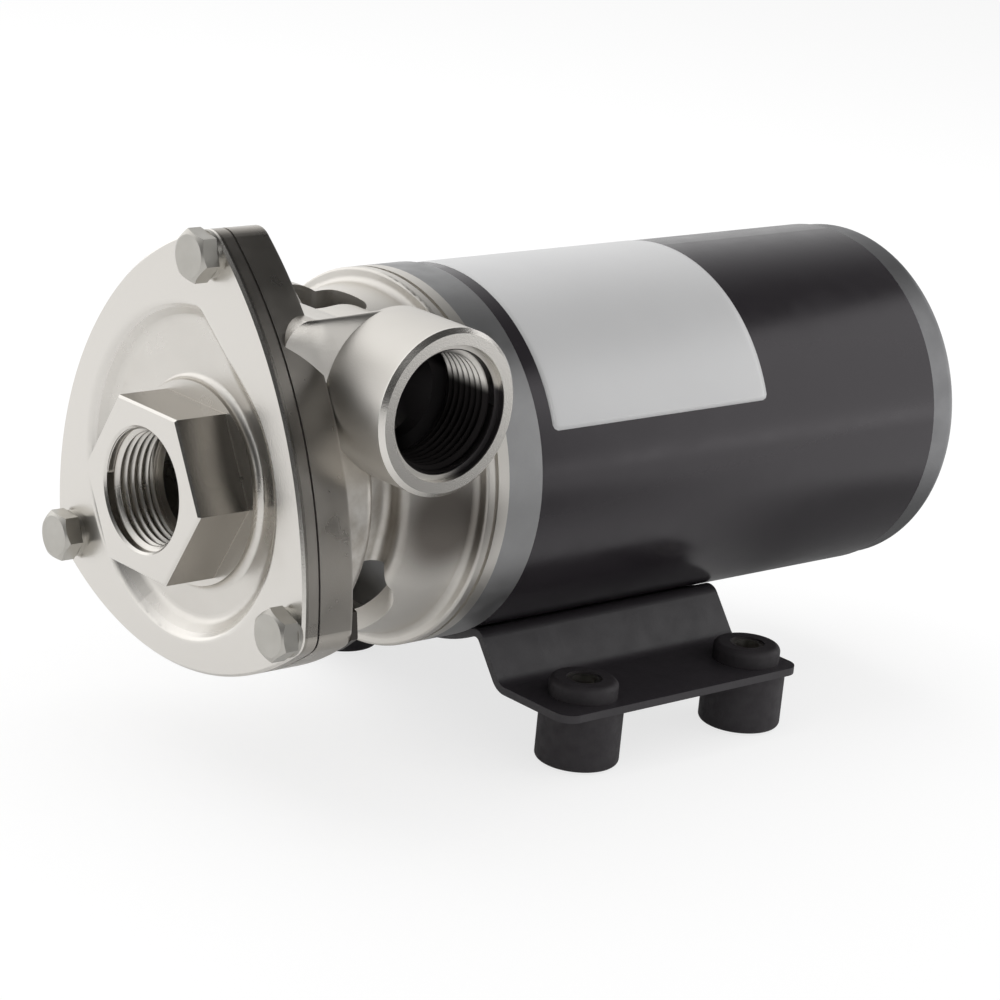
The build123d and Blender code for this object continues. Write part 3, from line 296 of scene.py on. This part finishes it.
# A zone is where a finish begins and where it is whole, in metres along the axis beside it.
casting = {
    "bodyZone": (-0.0950, -0.0920),     # X, the blasted body behind the flange
    "bodyRough": 0.40,
    "machinedColour": (0.73, 0.705, 0.665),
    "machinedRough": 0.27,
    "hexagonZone": (pump["collarFace"] - 0.0001, pump["collarFace"] - 0.0003),      # X
    "sideTilt": (0.35, 0.15),       # a side face has less than this share of its normal along the shaft
    "forwardZone": (-0.0935, -0.0945),      # X, the cover and its rim
    "rimShadeColour": (0.42, 0.395, 0.36),      # the cover's rim: its side faces painted darker than its face, as painted shade
    "flatShadeColour": (0.33, 0.31, 0.28),       # painted shade on the hexagon's side faces
    "faceZone": (pump["outletFace"] + 0.0016, pump["outletFace"] + 0.0010),     # Y
    # a brownish patch under the duct: a patchy stain, with painted shade where the duct shades the casting
    "stainAndShadePlace": (-0.088, -0.030, 0.058),
    "stainAndShadeReach": 0.024,
    "stainAndShadeColour": (0.40, 0.36, 0.31),
    "stainAndShadeScale": 260.0,
    "stainAndShadeDetail": 5.0,
    "stainAndShadeShare": 0.9,
    "outletShadowPlace": (-0.0655, -0.0350, 0.0590),     # painted shadow between the outlet and the bell, where the outlet shades the bell
    "outletShadowCore": 0.006,
    "outletShadowReach": 0.0165,
    "outletShadowZone": (0.0745, 0.0715),        # Z
    "outletShadowColour": (0.16, 0.145, 0.13),
    # the outlet's bore, painted near black as the shade inside it
    "boreRadius": 0.01335,
    "boreZone": (pump["outletRoot"], pump["outletRoot"] - 0.0005),      # Y
    "boreShadeColour": (0.030, 0.027, 0.027),
    "counterboreRadius": 0.0149,
    "counterboreZone": (pump["outletFace"] + 0.0001, pump["outletFace"] + 0.0004),      # Y, with no inner end
    "radiusEase": 0.0001,       # over which a round mask falls from 1 to 0
    "brightWay": (0.40, 0.0, 0.92),     # across the outlet's mouth, towards its upper right, which is left unshaded
    # painted shade on the counterbore's wall, low and to the right
    "mouthShadeZone": (0.0592, 0.0577),        # brightWay
    "mouthShadeRight": (pump["outletX"], pump["outletX"] + 0.0060),        # X
    "mouthShadeColour": (0.10, 0.093, 0.095),
    "mouthShadeRough": 0.5,
    "rearZone": (0.02, 0.04),       # X, the rear end bell
    "rearColour": (0.235, 0.235, 0.24),
}


def layered(material, mask, colour=None, rough=None):
    # lays another colour, another roughness or both over a finish wherever the mask is 1
    tree = material.node_tree
    shader = tree.nodes["Principled BSDF"]
    for socketName, kind, value in (("Base Color", "RGBA", colour), ("Roughness", "FLOAT", rough)):
        if value is not None:
            socket = shader.inputs[socketName]
            under = socket.links[0].from_socket
            feed(tree, mixed(tree, mask, under, value, kind), socket)


def finishCasting(material):
    # the blasted body, the machined hexagon and outlet face, side faces painted darker as shade, a stain with
    # painted shade under the duct, a painted shadow under the outlet, and painted shade in the outlet
    tree = material.node_tree
    layered(material, zone(tree, alongX, *casting["bodyZone"]), rough=casting["bodyRough"])
    hexagon = zone(tree, alongX, *casting["hexagonZone"])
    layered(material, hexagon, casting["machinedColour"], casting["machinedRough"])

    # side faces, found by their normals, are painted darker as shade
    normal = addNode(tree, "ShaderNodeNewGeometry").outputs["True Normal"]
    tilt = calculated(tree, "ABSOLUTE", reachAlong(tree, normal, alongX))
    shadedSides = mapped(tree, tilt, *casting["sideTilt"])
    forward = zone(tree, alongX, *casting["forwardZone"])
    layered(material, calculated(tree, "MULTIPLY", shadedSides, forward), casting["rimShadeColour"])
    layered(material, calculated(tree, "MULTIPLY", shadedSides, hexagon), casting["flatShadeColour"])

    face = zone(tree, alongY, *casting["faceZone"])
    layered(material, face, casting["machinedColour"], casting["machinedRough"])

    # patchy stain and painted shade under the duct
    stainAndShade = placeMask(tree, casting["stainAndShadePlace"], everyWay, 0.0, casting["stainAndShadeReach"])
    patches = objectNoise(tree, casting["stainAndShadeScale"], casting["stainAndShadeDetail"])
    patches = spreadNoise(tree, patches, 0.0, casting["stainAndShadeShare"])
    layered(material, calculated(tree, "MULTIPLY", stainAndShade, patches), casting["stainAndShadeColour"])

    # painted shadow of the outlet and its neck on the bell below them
    reach = (casting["outletShadowCore"], casting["outletShadowReach"])
    outletShadow = placeMask(tree, casting["outletShadowPlace"], everyWay, *reach)
    below = zone(tree, alongZ, *casting["outletShadowZone"])
    layered(material, calculated(tree, "MULTIPLY", outletShadow, below), casting["outletShadowColour"])

    def outletMask(radius):
        # 1 within a radius of the outlet's axis, which lies along Y
        axisPlace = (pump["outletX"], 0.0, pump["outletZ"])
        return placeMask(tree, axisPlace, (1.0, 0.0, 1.0), radius, radius + casting["radiusEase"])

    # painted shade: the outlet's bore near black
    shadedBore = calculated(tree, "MULTIPLY", outletMask(casting["boreRadius"]),
                      zone(tree, alongY, *casting["boreZone"]))
    layered(material, shadedBore, casting["boreShadeColour"])

    # Painted shade on the counterbore's wall, right of its middle and below the thread's unshaded part.
    # Its zone has no inner end, so it also darkens the casting behind, through to the +Y side.
    wall = calculated(tree, "MULTIPLY", outletMask(casting["counterboreRadius"]),
                      zone(tree, alongY, *casting["counterboreZone"]))
    lowRight = calculated(tree, "MULTIPLY", zone(tree, casting["brightWay"], *casting["mouthShadeZone"]),
                          zone(tree, alongX, *casting["mouthShadeRight"]))
    mouthShade = calculated(tree, "MULTIPLY", wall, lowRight)
    layered(material, mouthShade, casting["mouthShadeColour"], casting["mouthShadeRough"])


finishCasting(materials["cast_stainless"])
# the rear end bell is darker than the front one
aluminium = materials["cast_aluminium"]
layered(aluminium, zone(aluminium.node_tree, alongX, *casting["rearZone"]), casting["rearColour"])

slotOf = {entry["node"]: entry["material_slot"] for entry in frame["record"]["subparts"]}
for nodeName, piece in nodes.items():
    piece.data.materials.clear()
    piece.data.materials.append(materials[slotOf[nodeName]])
print("stage: finishes on all nodes")


portThread = {
    "crestRadius": 0.01206,
    "wallRadius": 0.01318,
    "pitch": 0.001814,
    "stepsPerTurn": 96,
    # across the rib in pitches, and its height there as a share of the whole; below 0 is inside the wall
    "ribPlaces": (0.04, 0.22, 0.40, 0.46, 0.54, 0.60, 0.78, 0.96, 0.96, 0.5, 0.04),
    "ribHeights": (0.02, 0.42, 0.88, 0.985, 0.985, 0.88, 0.42, 0.02, -0.02, -0.02, -0.02),
    "runIn": 0.6,       # turns over which the rib rises and dies away
    "leastRise": 0.03,      # the rib's height at its very ends, as a share of the whole
    "pitchCone": 1.0,       # the mouth's cone cuts the crests by this much for each step inwards
    "mouthRise": 0.00002,       # what the cone leaves of the rib at the mouth
    "mouthShadeZone": (0.0592, 0.0562),        # brightWay, where the outlet's rib turns dark with painted shade
    "mouthShadeRough": 0.65,
}

# start is the depth at which a rib begins, and length is how far in it runs
ports = {
    "inlet_thread": {"start": 0.0005, "length": 0.0131, "along": alongX, "across": alongY,
                     "mouth": (pump["inletFace"], 0.0, pump["shaftHeight"])},
    "outlet_thread": {"start": 0.0015, "length": 0.0155, "along": alongY, "across": alongX,
                      "mouth": (pump["outletX"], pump["outletFace"], pump["outletZ"])},
}


def threadRib(name, port, material):
    # A rib with rounded flanks, carried along a helix inside the bore:
    # place(u, v) = mouth + along * depth(u, v) + r(u, v) * (across * cos 2 pi u + third * sin 2 pi u), where
    # u counts turns, v steps round the rib's section, and depth = start + pitch * (u + ribPlace(v)).
    # r falls from the wall to the crest as ribHeight(v) grows. The height fades at both ends of the helix.
    # Near the mouth r is at least what the cone leaves: wall - mouthRise - pitchCone * (depth - start).
    pitch, wall, crest = portThread["pitch"], portThread["wallRadius"], portThread["crestRadius"]
    turns = port["length"] / pitch - 1.0
    u = np.linspace(0.0, turns, int(turns * portThread["stepsPerTurn"]) + 1)
    u, ribPlace = np.meshgrid(u, portThread["ribPlaces"], indexing="ij")
    ribHeight = np.broadcast_to(portThread["ribHeights"], u.shape)
    depth = port["start"] + pitch * (u + ribPlace)
    fade = np.clip(np.minimum(u, turns - u) / portThread["runIn"], portThread["leastRise"], 1.0)
    r = wall - (wall - crest) * np.where(ribHeight > 0, ribHeight * fade, ribHeight)
    cone = wall - portThread["mouthRise"] - portThread["pitchCone"] * np.maximum(depth - port["start"], 0.0)
    r = np.where(ribHeight > 0, np.maximum(r, cone), r)
    along, across = np.array(port["along"]), np.array(port["across"])
    third = np.cross(along, across)
    angle = 2.0 * np.pi * u
    points = (np.array(port["mouth"]) + depth[..., None] * along
              + (r * np.cos(angle))[..., None] * across + (r * np.sin(angle))[..., None] * third)
    piece = meshPiece(name, points.reshape(-1, 3), tubeFaces(*u.shape))
    ridePump(piece, material)


# the outlet's thread keeps its steel colour at its upper right and is painted dark below, as painted shade
ribSteels = {name: noisyFinish(name + "_steel", finishes["cast_stainless"]) for name in ports}
outletSteel = ribSteels["outlet_thread"]
darkPart = zone(outletSteel.node_tree, casting["brightWay"], *portThread["mouthShadeZone"])
layered(outletSteel, darkPart, casting["boreShadeColour"], portThread["mouthShadeRough"])

for name, port in ports.items():
    threadRib(name, port, ribSteels[name])
print("stage: port threads")


brushSpring = {
    "wire": 0.0008,
    "turns": 4,
    "stepsPerTurn": 40,
    "stepsRound": 12,
    "stroke": 0.003,        # how far the brush pushes it out
}

# the node that each coil replaces, its brush's slide, and whether its cap is at the top
springs = {
    "brush_spring_coil_1": {"node": "brush_spring_1", "joint": "brush_upper_slide", "capAtTop": True},
    "brush_spring_coil_2": {"node": "brush_spring_2", "joint": "brush_lower_slide", "capAtTop": False},
}


def springCoil(name, node, joint, capAtTop):
    # A wire carried along a helix: place(u, v) = centre(u) + wire / 2 * (out(u) * cos v + side(u) * sin v).
    # out(u) = (cos 2 pi u, sin 2 pi u, 0), side is square to it and to the helix, and
    # centre(u) = middle of the low end + radius * out(u) + height * u / turns upwards.
    # It rides on the housing.
    low, high = (np.array(corner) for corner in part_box(node))
    middle, size = (low + high) / 2.0, high - low
    wire, turns = brushSpring["wire"], brushSpring["turns"]
    radius, height = (size[0] - wire) / 2.0, size[2] - wire
    u = np.linspace(0.0, turns, turns * brushSpring["stepsPerTurn"] + 1)
    v = np.linspace(0.0, 2.0 * np.pi, brushSpring["stepsRound"], endpoint=False)
    angle = 2.0 * np.pi * u
    out = np.stack([np.cos(angle), np.sin(angle), np.zeros_like(u)], -1)
    centre = np.array([middle[0], middle[1], low[2] + wire / 2.0]) + radius * out
    centre[:, 2] += height * u / turns
    tangent = np.stack([-2.0 * np.pi * radius * np.sin(angle), 2.0 * np.pi * radius * np.cos(angle),
                        np.full_like(u, height / turns)], -1)
    tangent /= np.linalg.norm(tangent, axis=1, keepdims=True)
    side = np.cross(tangent, out)
    ring = np.cos(v)[:, None] * out[:, None] + np.sin(v)[:, None] * side[:, None]
    points = centre[:, None] + wire / 2.0 * ring
    piece = meshPiece(name, points.reshape(-1, 3), tubeFaces(len(u), len(v)))
    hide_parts(node)
    ridePump(piece, materials["spring_steel"])
    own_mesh(piece)


for name, spring in springs.items():
    springCoil(name, **spring)
print("stage: brush springs")


label = {
    "front": 0.0044,        # both from the shell's front edge
    "rear": 0.0697,
    "lowAngle": 69.7,       # degrees from straight up, towards the outlet's side
    "highAngle": -16.0,
    "corner": 0.0015,
    "lift": 0.00012,        # heights above the paint: the film's face, its edge and its underside
    "edgeLift": 0.00001,
    "underLift": 0.000005,
    "gridSide": 49,
    "film": {"Metallic": 0.25, "Roughness": 0.42, "IOR": 1.46},
    "colours": ((0.63, 0.63, 0.635), (0.71, 0.71, 0.71)),
    "patchScale": 30.0,
    "patchDetail": 3.0,
    "grainScale": 900.0,
    "grainDetail": 2.0,
    "grainStrength": 0.03,
    "grainDepth": 0.0001,
}


def onShell(lengthwise, angle, radius):
    # place(s, a) = (s, -r * sin a, shaft height + r * cos a)
    places = np.stack([lengthwise, -radius * np.sin(angle), pump["shaftHeight"] + radius * np.cos(angle)], -1)
    return places.reshape(-1, 3)


def curvedLabel(name, look, material):
    # A rounded rectangle wrapped on the shell, with p along the shaft and q round it, both from its middle.
    # The square grid's corners are drawn in to quarter circles, and its outer ring drops to the paint.
    count = look["gridSide"]
    share = np.linspace(-1.0, 1.0, count)
    pShare, qShare = np.meshgrid(share, share, indexing="ij")
    radius, corner = pump["shellRadius"], look["corner"]
    halfLong = (look["rear"] - look["front"]) / 2.0
    halfArc = math.radians(look["lowAngle"] - look["highAngle"]) * radius / 2.0
    p, q = pShare * halfLong, qShare * halfArc
    pPast, qPast = np.abs(p) - (halfLong - corner), np.abs(q) - (halfArc - corner)
    inCorner = (pPast > 0) & (qPast > 0)
    # A corner's square rings become round ones: each point moves along its ray to its ring's radius.
    # The tiny number keeps a corner's own centre from a division by zero.
    ringShare = np.where(inCorner, np.maximum(pPast, qPast) / np.maximum(np.hypot(pPast, qPast), 1e-9), 1.0)
    p = np.where(inCorner, np.sign(p) * (halfLong - corner + pPast * ringShare), p)
    q = np.where(inCorner, np.sign(q) * (halfArc - corner + qPast * ringShare), q)
    border = np.zeros((count, count), dtype=bool)
    border[[0, -1], :] = True
    border[:, [0, -1]] = True
    angle = math.radians((look["lowAngle"] + look["highAngle"]) / 2.0) + q / radius
    lengthwise = pump["shellFront"] + (look["front"] + look["rear"]) / 2.0 + p
    face = onShell(lengthwise, angle, radius + np.where(border, look["edgeLift"], look["lift"]))
    under = onShell(lengthwise, angle, np.full_like(angle, radius + look["underLift"]))
    faceQuads = gridFaces(count, count)
    index = np.arange(count * count).reshape(count, count)
    rim = np.concatenate([index[:-1, 0], index[-1, :-1], index[:0:-1, -1], index[0, :0:-1]])
    rimNext = np.roll(rim, -1)
    rimQuads = np.stack([rim, rim + count * count, rimNext + count * count, rimNext], -1)
    underQuads = faceQuads[:, ::-1] + count * count
    quads = np.concatenate([faceQuads, rimQuads, underQuads])[:, ::-1]
    piece = meshPiece(name, np.concatenate([face, under]), quads)
    ridePump(piece, material)


labelFilm, labelTree, labelShader = newMaterial("label_film", label["film"])
labelPatch = objectNoise(labelTree, label["patchScale"], label["patchDetail"])
feed(labelTree, mixed(labelTree, labelPatch, *label["colours"]), labelShader.inputs["Base Color"])
labelGrain = objectNoise(labelTree, label["grainScale"], label["grainDetail"])
bumped(labelTree, labelShader, labelGrain, label["grainStrength"], label["grainDepth"])
curvedLabel("shell_label", label, labelFilm)
print("stage: bare label")


studio = {
    "floorSize": 8.0,
    "floorHeight": -0.0002,
    "paper": 0.90,      # the floor's own colour, for the light that it gives to matt surfaces
    "paperSeen": 0.30,      # its colour in the picture, which keeps the shadow
    "glowSeen": 0.74,       # the rest of the picture's white
    "paperMirrored": 0.88,      # the same two in reflections
    "glowMirrored": 0.13,
    # reflections see the floor on the camera's side and under the motor as shaded
    "dimSpots": [
        {"place": (0.03, -0.32), "size": (0.17, 0.27), "share": 0.16},
        {"place": (0.125, -0.02), "size": (0.085, 0.095), "share": 0.30},
    ],
    "dimCore": 0.50,        # the part of a spot's size that is fully shaded
    "worldLight": 0.56,     # for matt surfaces
    # reflections see white in one direction, which falls to grey in the other
    "lightWay": (-0.15, 0.98, 0.10),
    "lightRange": (-0.06, 1.12),        # dot products with lightWay where the fall ends and begins
    "lightSide": 1.56,
    "darkSide": 0.05,
    # and a small bright window behind the camera's right shoulder
    "windowWay": (-0.06, -0.89, 0.45),
    "windowRange": (0.90, 0.975),       # dot products with windowWay at its edge and where it is whole
    "windowLight": 1.15,
    "lampTarget": (-0.02, 0.0, 0.06),
}

lamps = {
    "key_box": {"place": (-0.10, 0.50, 0.88), "width": 1.2, "height": 1.0, "power": 5.4, "mirrored": False},
    "side_box": {"place": (0.492, -0.164, 0.255), "width": 0.66, "height": 0.47, "power": 1.12,
                 "facing": (-0.8, 0.6, 0.0)},
}


def grey(level):
    return (level, level, level)


def studioFloor():
    # pale paper, which partly glows in the picture and is shaded in spots in reflections
    half, height = studio["floorSize"] / 2.0, studio["floorHeight"]
    corners = [(-half, -half, height), (half, -half, height), (half, half, height), (-half, half, height)]
    floor = meshPiece("studio_floor", corners, [(0, 1, 2, 3)])
    material, tree, _ = newMaterial("floor_paper", {})
    material.cycles.emission_sampling = "NONE"
    tree.nodes.clear()

    shades = []
    for spot in studio["dimSpots"]:
        sizeX, sizeY = spot["size"]
        scale = (1.0 / sizeX, 1.0 / sizeY, 0.0)
        inside = placeMask(tree, (*spot["place"], 0.0), scale, studio["dimCore"], 1.0)
        shades.append(mapped(tree, inside, 0.0, 1.0, 1.0, spot["share"]))
    shade = calculated(tree, "MULTIPLY", *shades)
    paperShade = calculated(tree, "MULTIPLY", shade, studio["paperMirrored"])
    mirroredPaper = addNode(tree, "ShaderNodeBsdfDiffuse", {"Color": paperShade})
    glowShade = calculated(tree, "MULTIPLY", shade, studio["glowMirrored"])
    mirroredGlow = addNode(tree, "ShaderNodeEmission", {"Color": white, "Strength": glowShade})
    mirrored = addedShader(tree, mirroredPaper.outputs["BSDF"], mirroredGlow.outputs["Emission"])

    seenPaper = addNode(tree, "ShaderNodeBsdfDiffuse", {"Color": grey(studio["paperSeen"])})
    seenGlow = addNode(tree, "ShaderNodeEmission", {"Color": white, "Strength": studio["glowSeen"]})
    seen = addedShader(tree, seenPaper.outputs["BSDF"], seenGlow.outputs["Emission"])

    paper = addNode(tree, "ShaderNodeBsdfDiffuse", {"Color": grey(studio["paper"])})
    rays = addNode(tree, "ShaderNodeLightPath")
    direct = calculated(tree, "MAXIMUM", rays.outputs["Is Camera Ray"], rays.outputs["Is Transmission Ray"])
    unseen = mixedShader(tree, rays.outputs["Is Glossy Ray"], paper.outputs["BSDF"], mirrored)
    addNode(tree, "ShaderNodeOutputMaterial", {"Surface": mixedShader(tree, direct, unseen, seen)})
    floor.data.materials.append(material)


def studioWorld():
    # white in the picture, a softer white for matt surfaces, and a bright and a dark side in reflections
    world = bpy.data.worlds.new("studio_world")
    bpy.context.scene.world = world
    world.use_nodes = True
    world.cycles.sampling_method = "NONE"
    tree = world.node_tree
    tree.nodes.clear()

    way = addNode(tree, "ShaderNodeTexCoord").outputs["Generated"]
    sides = mapped(tree, reachAlong(tree, way, studio["lightWay"]), *studio["lightRange"],
                   studio["darkSide"], studio["lightSide"], "SMOOTHSTEP")
    window = mapped(tree, reachAlong(tree, way, studio["windowWay"]), *studio["windowRange"],
                    0.0, studio["windowLight"], "SMOOTHSTEP")
    mirrored = calculated(tree, "ADD", sides, window)
    strengths = {"seen": 1.0, "matt": studio["worldLight"], "mirrored": mirrored}
    light = {}
    for name, strength in strengths.items():
        light[name] = addNode(tree, "ShaderNodeBackground", {"Color": white, "Strength": strength}).outputs[0]

    rays = addNode(tree, "ShaderNodeLightPath")
    shiny = calculated(tree, "MAXIMUM", rays.outputs["Is Glossy Ray"], rays.outputs["Is Transmission Ray"])
    unseen = mixedShader(tree, shiny, light["matt"], light["mirrored"])
    surface = mixedShader(tree, rays.outputs["Is Camera Ray"], unseen, light["seen"])
    addNode(tree, "ShaderNodeOutputWorld", {"Surface": surface})


def softBox(name, place, width, height, power, facing=None, mirrored=True):
    # a rectangular lamp that looks at the pump, or along facing where that is given
    lamp = bpy.data.lights.new(name, "AREA")
    lamp.shape = "RECTANGLE"
    lamp.size, lamp.size_y, lamp.energy = width, height, power
    box = bpy.data.objects.new(name, lamp)
    bpy.context.scene.collection.objects.link(box)
    box.location = place
    way = Vector(facing) if facing else Vector(studio["lampTarget"]) - Vector(place)
    box.rotation_euler = way.to_track_quat("-Z", "Y").to_euler()
    box.visible_camera = False
    box.visible_glossy = mirrored


studioFloor()
studioWorld()
for lampName, settings in lamps.items():
    softBox(lampName, **settings)

# the photograph's view: angles in degrees, focal length in the picture's pixels
view = {
    "azimuth": 42.38,
    "elevation": 16.90,
    "roll": 5.52,
    "focal": 3313.5,
    "pictureWidth": 1000.0,
    "place": (-0.5073, -0.5378, 0.2679),
    "sensorWidth": 36.0,        # millimetres
    "nearest": 0.01,        # metres, like place
}


def photoCamera():
    # The camera's back, right and up directions come from its azimuth and elevation, then turn by the roll.
    azimuth, elevation, roll = (math.radians(view[key]) for key in ("azimuth", "elevation", "roll"))
    level = math.cos(elevation)
    back = Vector((-math.sin(azimuth) * level, -math.cos(azimuth) * level, math.sin(elevation)))
    right = Vector((math.cos(azimuth), -math.sin(azimuth), 0.0))
    up = back.cross(right)
    sideways = math.cos(roll) * right + math.sin(roll) * up
    upwards = -math.sin(roll) * right + math.cos(roll) * up
    lens = bpy.data.cameras.new("photo_camera")
    lens.sensor_width = view["sensorWidth"]
    lens.sensor_fit = "HORIZONTAL"
    lens.lens = view["focal"] / view["pictureWidth"] * view["sensorWidth"]
    lens.clip_start = view["nearest"]
    camera = bpy.data.objects.new("photo_camera", lens)
    bpy.context.scene.collection.objects.link(camera)
    turned = Matrix((sideways, upwards, back)).transposed().to_4x4()
    camera.matrix_world = Matrix.Translation(view["place"]) @ turned
    bpy.context.scene.camera = camera


photoCamera()
bpy.context.scene.view_settings.view_transform = "Standard"
print("stage: floor, light and camera")
